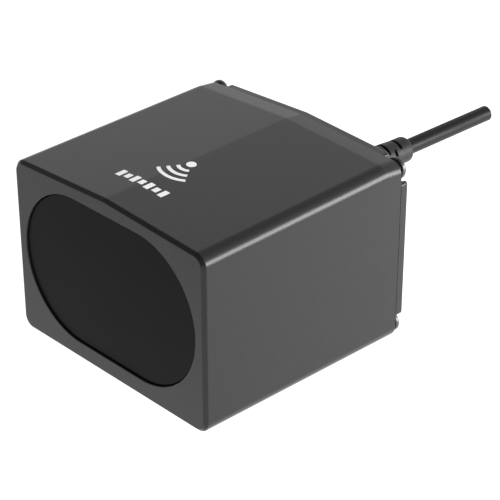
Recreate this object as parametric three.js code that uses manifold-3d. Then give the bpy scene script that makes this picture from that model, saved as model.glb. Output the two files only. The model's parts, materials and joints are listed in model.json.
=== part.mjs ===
// Lidar scanner module: a drafted, cast aluminium housing with a gabled roof, an obround infrared window,
// a two-lens ranging engine on a stack of circuit boards, and a screwed rear cover with a moulded lead.
// Millimetres, +Z up. The window faces -Y, the lead leaves towards +Y, and z = 0 is the mounting face.

import * as THREE from "three";
import { mergeVertices } from "three/addons/utils/BufferGeometryUtils.js";
import Module from "manifold-3d";

const wasm = await Module();
wasm.setup();

// ---- Driving dimensions -------------------------------------------------------------------------

const WIDTH = 44;
const DEPTH = 42.2;
const RIDGE_HEIGHT = 32.4;

const FRONT = -DEPTH / 2;
const REAR = DEPTH / 2;
const RIDGE_RISE = 0.95; // the ridge stands this far above the eaves
const ROOF_DRAFT = 1.25; // the roof climbs this much from the front face to the rear band
const BAND_LENGTH = 4.9; // the band behind the roof's highest line
const BAND_DROP = 0.45; // how far the band falls to the rear
const CORNER_RADIUS = 2.2;
const FACE_CHAMFER = 0.55;
const COVER_THICKNESS = 1.55;
const SHELL_END = REAR - COVER_THICKNESS - 0.05;
const BAND_START = REAR - BAND_LENGTH;

const EAVE_HIGH = RIDGE_HEIGHT - RIDGE_RISE;
const EAVE_FRONT = EAVE_HIGH - ROOF_DRAFT;
const EAVE_REAR = EAVE_HIGH - BAND_DROP;
const COVER_EDGE = EAVE_REAR + 0.1; // the cover's top edge beside its notches, in line with the roof's slope
const OPTIC_Z = 15.8; // height of both optical axes and of the window's centre

const SIDE_WALL = 2;
const FLOOR_WALL = 2.5;
const FRONT_WALL = 3;
const CAVITY_HALF = WIDTH / 2 - SIDE_WALL;
const CAVITY_TOP = EAVE_FRONT - SIDE_WALL;
const CAVITY_FRONT = FRONT + FRONT_WALL;
const CAVITY_MIDDLE = (FLOOR_WALL + CAVITY_TOP) / 2;
const CAVITY_HEIGHT = CAVITY_TOP - FLOOR_WALL;

const WINDOW_RADIUS = 12.55;
const WINDOW_STRAIGHT = 7.35; // half the length of the window's straight sides
const WINDOW_SETBACK = 0.35;
const WINDOW_THICKNESS = 1.4;
const WINDOW_POCKET = 2.2;
const GASKET_THICKNESS = 0.4;
const APERTURE_RADIUS = 10.8;

const BASE_HOLE_X = 13;
const BASE_HOLE_Y = 12;
const BASE_HOLE_RADIUS = 1.25; // tapping size of M3
const BASE_HOLE_DEPTH = 4;
const BASE_BOSS_RADIUS = 2.8;
const BASE_BOSS_HEIGHT = 4.8;

const COVER_SCREW_INSET = 2;
const COVER_SCREW_X = WIDTH / 2 - COVER_SCREW_INSET;
const COVER_SCREW_LOW = 2.25;
const COVER_SCREW_HIGH = EAVE_REAR - 1.55;
const COVER_BOSS_RADIUS = 2.4;
const CORNER_LAND = 6.6; // 45 degree webs that carry the gasket past the screws
const CORNER_LAND_DEPTH = 4;
const COVER_HEAD_RADIUS = 1.8;
const COVER_HEAD_HEIGHT = 0.85;
const EAR_THICKNESS = 0.4;
const EAR_RADIUS = 1.45;
const NOTCH_RADIUS = 2.25; // concave, around each cover screw
const NOTCH_EASE = 0.5; // convex, where a notch runs out into the cover's side

const STACK_X = 16.2; // the four columns that carry the optics and the boards
const STACK_Z = 9;
const POST_RADIUS = 1.7;
const SPACER_RADIUS = 1.9;
const BENCH_REAR = -7;
const BENCH_THICKNESS = 2;
const MAIN_BOARD_FRONT = 4;
const MAIN_BOARD_THICKNESS = 1.6;
const POWER_BOARD_FRONT = 11;
const POWER_BOARD_THICKNESS = 1.2;
const CLEAR = 0.1;

const RECEIVER = { x: 8.2, barrel: 10.2, lens: 9.3, curve: 20, port: 3.9 };
const EMITTER = { x: -10.4, barrel: 7.4, lens: 6.4, curve: 14, port: 3.2 };
const BARREL_FRONT = -17.5;
const LENS_SEAT = -13.5;

const LEAD_X = 10;
const LEAD_Z = 24.9;
const LEAD_RADIUS = 1.3;
const RELIEF_LENGTH = 12.4;
const RELIEF_BORE = LEAD_RADIUS + 0.25;
const SLOT_COUNT = 5; // the sleeve's slots lie above and below, then at both sides, and so on
const SLOT_START = 3.9;
const SLOT_PITCH = 1.45;
const SLOT_WIDTH = 0.6;
const SLOT_FLOOR = 1.3; // from the lead's axis
const SLOT_REACH = 3;

// ---- Materials ----------------------------------------------------------------------------------

function finish(color, roughness, metalness) {
  return () => new THREE.MeshStandardMaterial({ color, roughness, metalness });
}

const castGrey = finish(0x4b4c4f, 0.55, 0.6);
const coverGrey = finish(0x505154, 0.5, 0.6);
const windowBlack = finish(0x0d0d10, 0.12, 0);
const lensGlass = finish(0xbfd0d8, 0.05, 0);
const filterGlass = finish(0x6a2030, 0.08, 0);
const blackPlastic = finish(0x17181a, 0.6, 0);
const softBlack = finish(0x1c1d20, 0.75, 0);
const boardGreen = finish(0x1d5b3c, 0.5, 0);
const steel = finish(0x8a8c90, 0.35, 1);
const brass = finish(0xb9944a, 0.35, 1);
const tinned = finish(0xa9adb2, 0.4, 1);
const chipBlack = finish(0x202124, 0.5, 0);
const ferrite = finish(0x3a3b3f, 0.7, 0);
const capCan = finish(0xb4b8bd, 0.3, 1);
const ivory = finish(0xe2dcc8, 0.5, 0);

// ---- Solids -------------------------------------------------------------------------------------

// A closed three.js geometry as a manifold-3d solid.
function solid(geometry) {
  geometry.deleteAttribute("normal");
  geometry.deleteAttribute("uv");
  const merged = mergeVertices(geometry, 1e-4);
  return new wasm.Manifold(
    new wasm.Mesh({
      numProp: 3,
      vertProperties: new Float32Array(merged.attributes.position.array),
      triVerts: new Uint32Array(merged.index.array),
    }),
  );
}

// A manifold-3d solid as a named mesh with its own material.
function node(name, shape, material) {
  const { vertProperties, triVerts } = shape.getMesh();
  const geometry = new THREE.BufferGeometry();
  geometry.setAttribute("position", new THREE.BufferAttribute(vertProperties, 3));
  geometry.setIndex(new THREE.BufferAttribute(triVerts, 1));
  geometry.computeVertexNormals();
  const mesh = new THREE.Mesh(geometry, material());
  mesh.name = name;
  return mesh;
}

// A block between two depths, centred on (x, z).
function block(x, z, width, height, front, rear) {
  const geometry = new THREE.BoxGeometry(width, rear - front, height);
  return solid(geometry.translate(x, (front + rear) / 2, z));
}

// A cylinder along Y between two depths; six segments make a hexagon.
function rod(x, z, radius, front, rear, segments = 24) {
  const geometry = new THREE.CylinderGeometry(radius, radius, rear - front, segments);
  return solid(geometry.translate(x, (front + rear) / 2, z));
}

// A cylinder along Z between two heights.
function post(x, y, radius, low, high, segments = 20) {
  const geometry = new THREE.CylinderGeometry(radius, radius, high - low, segments);
  return solid(geometry.rotateX(Math.PI / 2).translate(x, y, (low + high) / 2));
}

// A shape drawn in X and Z, pulled along Y between two depths.
function prism(shape, front, rear, curveSegments = 8) {
  const geometry = new THREE.ExtrudeGeometry(shape, { depth: rear - front, bevelEnabled: false, curveSegments });
  return solid(geometry.rotateX(Math.PI / 2).translate(0, rear, 0));
}

// A profile of [radius, depth] pairs, listed from front to rear, turned about an axis along Y.
function turned(x, z, profile, segments = 32) {
  const points = profile.map(([radius, depth]) => new THREE.Vector2(radius, depth));
  return solid(new THREE.LatheGeometry(points, segments).translate(x, 0, z));
}

// A shape's outline as points, without the repeats where one stretch ends and the next begins.
function outline(shape, divisions) {
  const points = shape.getPoints(divisions);
  return points.filter((p, i) => p.distanceTo(points[(i + 1) % points.length]) > 1e-6);
}

// Sections of equal point count joined into one closed body; each is { depth, points } in X and Z.
function loft(sections) {
  const count = sections[0].points.length;
  const positions = sections.flatMap(({ depth, points }) => points.flatMap((p) => [p.x, depth, p.y]));
  const faces = [];
  for (let s = 0; s + 1 < sections.length; s += 1) {
    for (let i = 0; i < count; i += 1) {
      const a = s * count + i;
      const b = s * count + ((i + 1) % count);
      faces.push(a, a + count, b, b, a + count, b + count);
    }
  }
  const last = (sections.length - 1) * count;
  for (const [a, b, c] of THREE.ShapeUtils.triangulateShape(sections[0].points, [])) {
    faces.push(a, b, c);
  }
  for (const [a, b, c] of THREE.ShapeUtils.triangulateShape(sections.at(-1).points, [])) {
    faces.push(last + a, last + c, last + b);
  }
  const geometry = new THREE.BufferGeometry();
  geometry.setAttribute("position", new THREE.Float32BufferAttribute(positions, 3));
  geometry.setIndex(faces);
  return solid(geometry);
}

function joined(solids) {
  return solids.reduce((whole, piece) => whole.add(piece));
}

function cut(whole, tools) {
  return tools.reduce((rest, tool) => rest.subtract(tool), whole);
}

// ---- Outlines, drawn as seen from the front ----------------------------------------------------------

// The housing's cross-section: rounded corners and a roof that rises to a ridge on the centre line.
function gabled(half, low, eave, radius) {
  const shape = new THREE.Shape();
  shape.moveTo(-half + radius, low);
  shape.lineTo(half - radius, low);
  shape.absarc(half - radius, low + radius, radius, -Math.PI / 2, 0, false);
  shape.lineTo(half, eave - radius);
  shape.absarc(half - radius, eave - radius, radius, 0, Math.PI / 2, false);
  shape.lineTo(0, eave + RIDGE_RISE);
  shape.lineTo(-half + radius, eave);
  shape.absarc(-half + radius, eave - radius, radius, Math.PI / 2, Math.PI, false);
  shape.lineTo(-half, low + radius);
  shape.absarc(-half + radius, low + radius, radius, Math.PI, Math.PI * 1.5, false);
  return shape;
}

function obround(straight, radius) {
  const shape = new THREE.Shape();
  shape.absarc(straight, OPTIC_Z, radius, -Math.PI / 2, Math.PI / 2, false);
  shape.absarc(-straight, OPTIC_Z, radius, Math.PI / 2, Math.PI * 1.5, false);
  shape.closePath();
  return shape;
}

function rounded(x, z, width, height, radius) {
  const [left, right, low, high] = [x - width / 2, x + width / 2, z - height / 2, z + height / 2];
  const shape = new THREE.Shape();
  shape.absarc(right - radius, low + radius, radius, -Math.PI / 2, 0, false);
  shape.absarc(right - radius, high - radius, radius, 0, Math.PI / 2, false);
  shape.absarc(left + radius, high - radius, radius, Math.PI / 2, Math.PI, false);
  shape.absarc(left + radius, low + radius, radius, Math.PI, Math.PI * 1.5, false);
  shape.closePath();
  return shape;
}

// A rectangle whose corners are cut at 45 degrees, so that it passes inside the cover screws.
function clipped(half, low, high, corner) {
  const shape = new THREE.Shape();
  const right = [[half - corner, low], [half, low + corner], [half, high - corner], [half - corner, high]];
  const left = right.map(([x, z]) => [-x, z]).reverse();
  [...right, ...left].forEach(([x, z], i) => (i ? shape.lineTo(x, z) : shape.moveTo(x, z)));
  shape.closePath();
  return shape;
}

const stackPoints = [-1, 1].flatMap((up) => [-1, 1].map((side) => [side * STACK_X, OPTIC_Z + up * STACK_Z]));
const coverPoints = [COVER_SCREW_LOW, COVER_SCREW_HIGH].flatMap((z) => [
  [-COVER_SCREW_X, z],
  [COVER_SCREW_X, z],
]);
const basePoints = [-1, 1].flatMap((end) => [-1, 1].map((side) => [side * BASE_HOLE_X, end * BASE_HOLE_Y]));

// ---- Enclosure ------------------------------------------------------------------------------------

function housingBody() {
  const half = WIDTH / 2;
  const section = (depth, inset, eave) => ({
    depth,
    points: outline(gabled(half - inset, inset, eave, CORNER_RADIUS - Math.min(inset, FACE_CHAMFER)), 4),
  });
  const drop = (BAND_DROP * (SHELL_END - BAND_START)) / BAND_LENGTH;
  return loft([
    section(FRONT, FACE_CHAMFER, EAVE_FRONT - FACE_CHAMFER),
    section(FRONT + FACE_CHAMFER, 0, EAVE_FRONT),
    section(BAND_START, 0, EAVE_HIGH),
    section(SHELL_END, 0, EAVE_HIGH - drop),
  ]);
}

function frontHousing() {
  const hollow = rounded(0, CAVITY_MIDDLE, CAVITY_HALF * 2, CAVITY_HEIGHT, 1);
  const cavity = prism(hollow, CAVITY_FRONT, SHELL_END + 1, 3);
  const land = SHELL_END - CORNER_LAND_DEPTH;
  const filled = [
    prism(rounded(0, CAVITY_MIDDLE, CAVITY_HALF * 2 + 1, CAVITY_HEIGHT + 1, 1), land, REAR, 3).subtract(
      prism(clipped(CAVITY_HALF + 1, FLOOR_WALL - 1, CAVITY_TOP + 1, CORNER_LAND + 2), land - 1, REAR + 1),
    ),
    ...coverPoints.map(([x, z]) => rod(x, z, COVER_BOSS_RADIUS, BAND_START - 8, REAR, 16)),
    ...stackPoints.map(([x, z]) => rod(x, z, POST_RADIUS, FRONT, BENCH_REAR - BENCH_THICKNESS - CLEAR, 16)),
    ...basePoints.map(([x, y]) => post(x, y, BASE_BOSS_RADIUS, 0, BASE_BOSS_HEIGHT, 16)),
  ];
  return cut(housingBody(), [
    cut(cavity, filled),
    prism(obround(WINDOW_STRAIGHT, WINDOW_RADIUS), FRONT - 1, FRONT + WINDOW_POCKET, 10),
    prism(obround(WINDOW_STRAIGHT, APERTURE_RADIUS), FRONT, CAVITY_FRONT + 0.5, 8),
    ...coverPoints.map(([x, z]) => rod(x, z, 1, BAND_START - 4, REAR, 12)),
    ...stackPoints.map(([x, z]) => rod(x, z, 0.8, -14.5, 0, 10)),
    ...basePoints.map(([x, y]) => post(x, y, BASE_HOLE_RADIUS, -1, BASE_HOLE_DEPTH, 16)),
  ]);
}

function opticalWindow() {
  const front = FRONT + WINDOW_SETBACK;
  return prism(obround(WINDOW_STRAIGHT, WINDOW_RADIUS - CLEAR), front, front + WINDOW_THICKNESS, 10);
}

function windowGasket() {
  const rear = FRONT + WINDOW_POCKET;
  const front = rear - GASKET_THICKNESS;
  const ring = prism(obround(WINDOW_STRAIGHT, WINDOW_RADIUS - CLEAR), front, rear, 8);
  return ring.subtract(prism(obround(WINDOW_STRAIGHT, APERTURE_RADIUS + CLEAR), front - 1, rear + 1, 8));
}

// A lower right corner of the cover with its screw's notch: an eased run-out, the hollow around the screw, and
// the second run-out. Points run from the low side to the right side; rise is the screw's height above the edge.
function notchedCorner(inset, rise) {
  const reach = NOTCH_RADIUS + NOTCH_EASE;
  const [below, beside] = [rise - NOTCH_EASE, COVER_SCREW_INSET - NOTCH_EASE];
  const [run, climb] = [below, beside].map((leg) => Math.sqrt(reach ** 2 - leg ** 2));
  const [tilt, lean] = [Math.asin(below / reach), Math.asin(beside / reach)];
  const ease = NOTCH_EASE - inset;
  const shape = new THREE.Path();
  shape.absarc(COVER_SCREW_X - run, NOTCH_EASE, ease, -Math.PI / 2, tilt, false);
  shape.absarc(COVER_SCREW_X, rise, NOTCH_RADIUS + inset, Math.PI + tilt, Math.PI / 2 - lean, true);
  shape.absarc(WIDTH / 2 - NOTCH_EASE, rise + climb, ease, -Math.PI / 2 - lean, 0, false);
  return outline(shape, 3);
}

// The cover's outline with a notch at each corner and the ridge in the middle of the top.
function coverOutline(inset) {
  const turnedOver = notchedCorner(inset, COVER_EDGE - COVER_SCREW_HIGH).reverse();
  const low = notchedCorner(inset, COVER_SCREW_LOW);
  const high = turnedOver.map((p) => new THREE.Vector2(p.x, COVER_EDGE - p.y));
  const mirrored = (points) => points.map((p) => new THREE.Vector2(-p.x, p.y)).reverse();
  const ridge = new THREE.Vector2(0, EAVE_REAR + RIDGE_RISE - inset);
  return [...low, ...high, ridge, ...mirrored(high), ...mirrored(low)];
}

function rearCover() {
  const inner = REAR - COVER_THICKNESS;
  const section = (depth, inset) => ({ depth, points: coverOutline(inset) });
  const plate = loft([section(inner, 0), section(REAR - 0.25, 0.05), section(REAR, 0.3)]);
  const spigot = prism(clipped(18.6, 3.8, 27.2, 4.6), inner - 1.3, inner + 0.2);
  const ears = coverPoints.flatMap(([x, z]) => {
    const [inX, inZ] = [x - Math.sign(x) * 1.5, z + Math.sign(OPTIC_Z - z) * 1.5];
    return [
      rod(x, z, EAR_RADIUS, inner, inner + EAR_THICKNESS, 20),
      rod(inX, inZ, EAR_RADIUS, inner, inner + EAR_THICKNESS, 20),
    ];
  });
  const tools = [
    ...coverPoints.map(([x, z]) => rod(x, z, 1.15, 0, REAR + 1, 16)),
    rod(LEAD_X, LEAD_Z, 2.2, 0, REAR + 1, 24),
    gasketRing(inner - 0.02, inner + 0.27, 0.05),
  ];
  return cut(joined([plate, spigot, ...ears]), tools);
}

function gasketRing(front, rear, grow) {
  const ring = prism(clipped(20.5 + grow, 1.9 - grow, 29.1 + grow, 5.6), front, rear);
  return ring.subtract(prism(clipped(19.3 - grow, 3.1 + grow, 27.9 - grow, 4.9), front - 1, rear + 1));
}

function coverScrew([x, z]) {
  const seat = REAR - COVER_THICKNESS + EAR_THICKNESS;
  const head = turned(x, z, [
    [0, seat],
    [COVER_HEAD_RADIUS, seat],
    [COVER_HEAD_RADIUS, seat + COVER_HEAD_HEIGHT - 0.25],
    [COVER_HEAD_RADIUS - 0.25, seat + COVER_HEAD_HEIGHT],
    [0, seat + COVER_HEAD_HEIGHT],
  ], 20);
  const shank = rod(x, z, 0.8, seat - 5.5, seat + 0.1, 8);
  return head.add(shank).subtract(rod(x, z, 0.75, seat + 0.35, REAR + 1, 6));
}

// ---- Optics -----------------------------------------------------------------------------------------

function opticsBench() {
  const front = BENCH_REAR - BENCH_THICKNESS;
  const plate = prism(rounded(0, OPTIC_Z, 38, 22.4, 2), front, BENCH_REAR, 4);
  const channels = [RECEIVER, EMITTER];
  const barrels = channels.map(({ x, barrel }) => rod(x, OPTIC_Z, barrel, BARREL_FRONT, front + 0.5, 28));
  const bores = channels.flatMap(({ x, lens, port }) => [
    rod(x, OPTIC_Z, lens + 0.2, BARREL_FRONT - 1, LENS_SEAT, 28),
    rod(x, OPTIC_Z, lens - 0.6, LENS_SEAT - 1, front, 24),
    rod(x, OPTIC_Z, port, front - 1, BENCH_REAR + 1, 16),
  ]);
  const studHoles = stackPoints.map(([x, z]) => rod(x, z, 0.9, front - 1, BENCH_REAR + 1, 10));
  return cut(joined([plate, ...barrels]), [...bores, ...studHoles]);
}

// A plano-convex lens with its flat side to the rear; the arc is the bulge between the axis and the rim.
function lens({ x, lens: radius, curve }) {
  const steps = 5;
  const rimFront = LENS_SEAT - 1.7;
  const rise = (r) => Math.sqrt(curve ** 2 - r ** 2) - Math.sqrt(curve ** 2 - radius ** 2);
  const radii = Array.from({ length: steps + 1 }, (_, i) => (radius * i) / steps);
  const bulge = radii.map((r) => [r, rimFront - rise(r)]);
  return turned(x, OPTIC_Z, [...bulge, [radius, LENS_SEAT - CLEAR], [0, LENS_SEAT - CLEAR]], 24);
}

function retainingRing({ x, lens: radius }) {
  const [front, rear] = [BARREL_FRONT + 0.2, LENS_SEAT - 2.35];
  const disc = rod(x, OPTIC_Z, radius + CLEAR, front, rear, 24);
  return disc.subtract(rod(x, OPTIC_Z, radius - 0.75, front - 1, rear + 1, 24));
}

function detectorFilter() {
  return rod(RECEIVER.x, OPTIC_Z, RECEIVER.port - 0.2, BENCH_REAR - 1.6, BENCH_REAR - 0.4, 24);
}

function opticalBaffle() {
  return block(-2.7, OPTIC_Z, 1.5, 20, FRONT + WINDOW_POCKET + 0.1, BARREL_FRONT - 0.2);
}

// A metal-can opto component that faces the lens from its little board.
function canPackage({ x }, radius, front, rear) {
  return turned(x, OPTIC_Z, [[0, front], [radius - 0.3, front], [radius, front + 0.3], [radius, rear - 0.4],
    [radius + 0.5, rear - 0.4], [radius + 0.5, rear], [0, rear]], 16);
}

// ---- Electronics ------------------------------------------------------------------------------------

const DAUGHTER_FRONT = -5.2;
const DAUGHTER_REAR = -4.2;

function daughterBoard({ x }, width, height) {
  return prism(rounded(x, OPTIC_Z, width, height, 0.6), DAUGHTER_FRONT, DAUGHTER_REAR, 2);
}

function shieldCan() {
  const [front, rear] = [DAUGHTER_REAR + CLEAR, DAUGHTER_REAR + 3];
  return block(RECEIVER.x, OPTIC_Z + 2.2, 9, 8, front, rear).subtract(
    block(RECEIVER.x, OPTIC_Z + 2.2, 8.4, 7.4, front - 1, rear - 0.3),
  );
}

function stackHeader({ x }, width) {
  return block(x, OPTIC_Z - 5.4, width, 2.4, DAUGHTER_REAR + CLEAR, MAIN_BOARD_FRONT - CLEAR);
}

function stackBoard(front, thickness, height) {
  const board = prism(rounded(0, OPTIC_Z, 36.4, height, 1), front, front + thickness, 3);
  return cut(board, stackPoints.map(([x, z]) => rod(x, z, 0.9, front - 1, front + thickness + 1, 10)));
}

// A hexagonal spacer with a stud at its front end and a tapped hole at its rear end.
function spacer([x, z], front, rear, stud) {
  return rod(x, z, SPACER_RADIUS, front, rear, 6)
    .add(rod(x, z, 0.6, front - stud, front + 0.5, 8))
    .subtract(rod(x, z, 0.85, rear - 3.6, rear + 1, 8));
}

function boardScrew([x, z]) {
  const seat = POWER_BOARD_FRONT + POWER_BOARD_THICKNESS + CLEAR;
  return joined([rod(x, z, 1.6, seat, seat + 1.2, 16), rod(x, z, 0.6, seat - 3.5, seat + 0.2, 8)]).subtract(
    rod(x, z, 0.6, seat + 0.5, seat + 2, 6),
  );
}

function chip(x, z, width, height, front, tall) {
  return prism(rounded(x, z, width, height, 0.3), front, front + tall, 2);
}

// An electrolytic can on its plastic foot, with the rolled groove near the bottom.
function capacitor(x, z, front) {
  return turned(x, z, [[0, front], [2.2, front], [2.2, front + 0.7], [1.95, front + 1], [2.2, front + 1.3],
    [2.2, front + 4.3], [1.9, front + 4.7], [0, front + 4.7]], 14);
}

function drumInductor(x, z, front) {
  return turned(x, z, [[0, front], [3.2, front], [3.2, front + 0.9], [2.5, front + 1.1], [2.5, front + 2.9],
    [3.2, front + 3.1], [3.2, front + 4], [0, front + 4]], 16);
}

// ---- Lead ------------------------------------------------------------------------------------------------

// A tube along a hand-placed curve.
function tube(points, radius, steps, sides) {
  const circle = new THREE.Shape().absarc(0, 0, radius, 0, Math.PI * 2, false);
  const path = new THREE.CatmullRomCurve3(points.map((p) => new THREE.Vector3(...p)));
  return solid(new THREE.ExtrudeGeometry(circle, { steps, curveSegments: sides / 2, extrudePath: path }));
}

const PLUG = { x: 5, z: 18.6, width: 9, height: 4, front: 12.4 };

function leadHeader() {
  const { x, z, width, height, front } = PLUG;
  return block(x, z, width, height, front, front + 2.2).subtract(
    block(x, z, width - 1.2, height - 1.2, front + 0.6, front + 4),
  );
}

function leadPlug() {
  const { x, z, width, height, front } = PLUG;
  return block(x, z, width - 1.6, height - 1.6, front + 0.8, front + 2.6);
}

// The stretch of the lead inside the housing, from the gland nut to the back of the plug.
function innerLead() {
  const back = PLUG.front + 2.6;
  const route = [
    [LEAD_X, 17, LEAD_Z], [LEAD_X - 0.2, 16.5, LEAD_Z - 0.9], [LEAD_X - 1.6, 16.4, LEAD_Z - 3.4],
    [PLUG.x + 1, 16.4, PLUG.z + 0.7], [PLUG.x + 0.4, back + 0.8, PLUG.z], [PLUG.x + 0.4, back + 0.3, PLUG.z],
  ];
  return tube(route, 0.9, 10, 8);
}

// The moulded sleeve: a flange against the cover, a neck through it, and a slotted, flexible body.
function strainRelief() {
  const neck = REAR - 2.7;
  const face = REAR + CLEAR;
  const end = REAR + RELIEF_LENGTH;
  const body = turned(LEAD_X, LEAD_Z, [[0, neck], [2, neck], [2, face], [3.3, face], [3.3, face + 1],
    [2.65, face + 1.5], [2.15, end - 2.4], [2.15, end - 0.6], [1.8, end], [0, end]], 20);
  const slots = [];
  for (let i = 0; i < SLOT_COUNT; i += 1) {
    const front = REAR + SLOT_START + i * SLOT_PITCH - SLOT_WIDTH / 2;
    const rear = front + SLOT_WIDTH;
    for (const way of [-1, 1]) {
      const offset = way * (SLOT_FLOOR + SLOT_REACH / 2);
      const aside = block(LEAD_X + offset, LEAD_Z, SLOT_REACH, 3.4, front, rear);
      const above = block(LEAD_X, LEAD_Z + offset, 4.2, SLOT_REACH, front, rear);
      slots.push(i % 2 ? aside : above);
    }
  }
  return cut(body, [rod(LEAD_X, LEAD_Z, RELIEF_BORE, 0, end + 1, 14), ...slots]);
}

function glandNut() {
  const [front, rear] = [REAR - 3.75, REAR - 2.9];
  return rod(LEAD_X, LEAD_Z, 3, front, rear, 6).subtract(rod(LEAD_X, LEAD_Z, 2, front - 1, rear + 1, 16));
}

// The free lead: straight out of the cover, inside the sleeve, to its cut end.
const LEAD_ROUTE = [
  [10, 21.1, 24.9], [10, 23.3, 24.9], [10, 25.5, 24.9], [10, 27.7, 24.9],
  [10, 29.9, 24.9], [10, 32.1, 24.9], [10, 34.3, 24.9], [10, 36.5, 24.9],
  [10, 38.7, 24.9], [10, 40.9, 24.9], [10, 43.1, 24.9], [10, 45.2, 24.9],
  [10, 47.3, 24.9], [10, 49.4, 24.9], [10, 51.5, 24.9], [10, 53.5, 24.9],
];

function signalLead() {
  return tube(LEAD_ROUTE, LEAD_RADIUS, LEAD_ROUTE.length - 1, 12);
}

// ---- Assembly --------------------------------------------------------------------------------------------

const root = new THREE.Group();
const add = (name, shape, material) => root.add(node(name, shape, material));
const addEach = (name, points, make, material) =>
  points.forEach((point, i) => add(`${name}_${i + 1}`, make(point), material));

const mainRear = MAIN_BOARD_FRONT + MAIN_BOARD_THICKNESS;

add("front_housing", frontHousing(), castGrey);
add("optical_window", opticalWindow(), windowBlack);
add("window_gasket", windowGasket(), softBlack);
add("rear_cover", rearCover(), coverGrey);
add("rear_gasket", gasketRing(REAR - COVER_THICKNESS - 0.02, REAR - COVER_THICKNESS + 0.22, 0), softBlack);
addEach("cover_screw", coverPoints, coverScrew, steel);

add("optics_bench", opticsBench(), blackPlastic);
add("receiver_lens", lens(RECEIVER), lensGlass);
add("emitter_lens", lens(EMITTER), lensGlass);
add("receiver_retaining_ring", retainingRing(RECEIVER), steel);
add("emitter_retaining_ring", retainingRing(EMITTER), steel);
add("detector_filter", detectorFilter(), filterGlass);
add("optical_baffle", opticalBaffle(), softBlack);

add("emitter_board", daughterBoard(EMITTER, 8, 14.4), boardGreen);
add("receiver_board", daughterBoard(RECEIVER, 12, 14.8), boardGreen);
add("laser_diode", canPackage(EMITTER, 2.3, -8.6, DAUGHTER_FRONT - CLEAR), brass);
add("photodiode", canPackage(RECEIVER, 2.4, -6.9, DAUGHTER_FRONT - CLEAR), brass);
add("receiver_shield", shieldCan(), tinned);
add("pulse_capacitor", chip(EMITTER.x, OPTIC_Z + 3, 4, 3, DAUGHTER_REAR + CLEAR, 2.2), ivory);
add("emitter_header", stackHeader(EMITTER, 6), blackPlastic);
add("receiver_header", stackHeader(RECEIVER, 8), blackPlastic);

addEach("front_spacer", stackPoints, (p) => spacer(p, BENCH_REAR + CLEAR, MAIN_BOARD_FRONT - CLEAR, 6), brass);
add("main_board", stackBoard(MAIN_BOARD_FRONT, MAIN_BOARD_THICKNESS, 22.8), boardGreen);
add("main_processor", chip(-6.5, 18.5, 9, 9, mainRear + CLEAR, 1.2), chipBlack);
add("timing_chip", chip(6, 20.5, 6, 6, mainRear + CLEAR, 1), chipBlack);
add("clock_crystal", chip(-6.5, 9.6, 3.2, 2.5, mainRear + CLEAR, 0.9), tinned);
add("bias_inductor", chip(6.5, 12.5, 5, 5, mainRear + CLEAR, 3), ferrite);
addEach("rear_spacer", stackPoints, (p) => spacer(p, mainRear + CLEAR, POWER_BOARD_FRONT - CLEAR, 3), brass);
add("power_board", stackBoard(POWER_BOARD_FRONT, POWER_BOARD_THICKNESS, 21.4), boardGreen);
add("board_link", block(0, 7, 12, 2.4, mainRear + CLEAR, POWER_BOARD_FRONT - CLEAR), blackPlastic);
add("power_inductor", drumInductor(-11, 19, POWER_BOARD_FRONT + POWER_BOARD_THICKNESS + CLEAR), ferrite);
add("filter_capacitor_1", capacitor(-11, 10.5, POWER_BOARD_FRONT + POWER_BOARD_THICKNESS + CLEAR), capCan);
add("filter_capacitor_2", capacitor(-5.6, 10.5, POWER_BOARD_FRONT + POWER_BOARD_THICKNESS + CLEAR), capCan);
addEach("board_screw", stackPoints, boardScrew, steel);

add("lead_header", leadHeader(), ivory);
add("lead_plug", leadPlug(), ivory);
add("inner_lead", innerLead(), softBlack);
add("gland_nut", glandNut(), brass);
add("strain_relief", strainRelief(), softBlack);
add("signal_lead", signalLead(), softBlack);

export default root;
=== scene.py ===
import json
import math

import bmesh
import bpy
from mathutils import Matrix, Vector


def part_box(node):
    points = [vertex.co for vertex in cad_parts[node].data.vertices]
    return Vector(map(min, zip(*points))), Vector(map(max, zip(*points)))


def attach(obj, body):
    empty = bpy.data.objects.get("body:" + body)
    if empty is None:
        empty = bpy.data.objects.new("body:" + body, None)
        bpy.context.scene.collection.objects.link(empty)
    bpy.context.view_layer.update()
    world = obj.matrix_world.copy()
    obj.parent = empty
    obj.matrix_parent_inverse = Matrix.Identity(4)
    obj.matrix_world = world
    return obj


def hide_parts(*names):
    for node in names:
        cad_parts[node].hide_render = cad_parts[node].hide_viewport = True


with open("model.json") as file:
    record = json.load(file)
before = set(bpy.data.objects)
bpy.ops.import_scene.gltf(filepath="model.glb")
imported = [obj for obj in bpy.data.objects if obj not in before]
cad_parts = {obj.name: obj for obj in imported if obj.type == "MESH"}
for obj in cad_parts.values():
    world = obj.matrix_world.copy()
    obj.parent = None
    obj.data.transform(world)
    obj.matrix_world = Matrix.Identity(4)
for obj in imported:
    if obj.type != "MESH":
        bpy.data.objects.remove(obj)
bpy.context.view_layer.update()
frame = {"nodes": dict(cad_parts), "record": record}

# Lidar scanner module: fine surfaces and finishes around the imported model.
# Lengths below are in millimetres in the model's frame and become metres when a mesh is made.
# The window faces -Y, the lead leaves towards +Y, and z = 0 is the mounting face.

MM = 0.001


def corners(node):
    """Lowest and highest corner of a CAD node in millimetres."""
    return [Vector(corner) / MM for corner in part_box(node)]


# ---- Camera ----------------------------------------------------------------------------------------

CAMERA_AZIMUTH = math.radians(46.87)
CAMERA_ELEVATION = math.radians(28.9)
CAMERA_DISTANCE = 285.7
CAMERA_LENS = 133.1
CAMERA_AIM = Vector((7.71, 1.16, 17.36))


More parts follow.
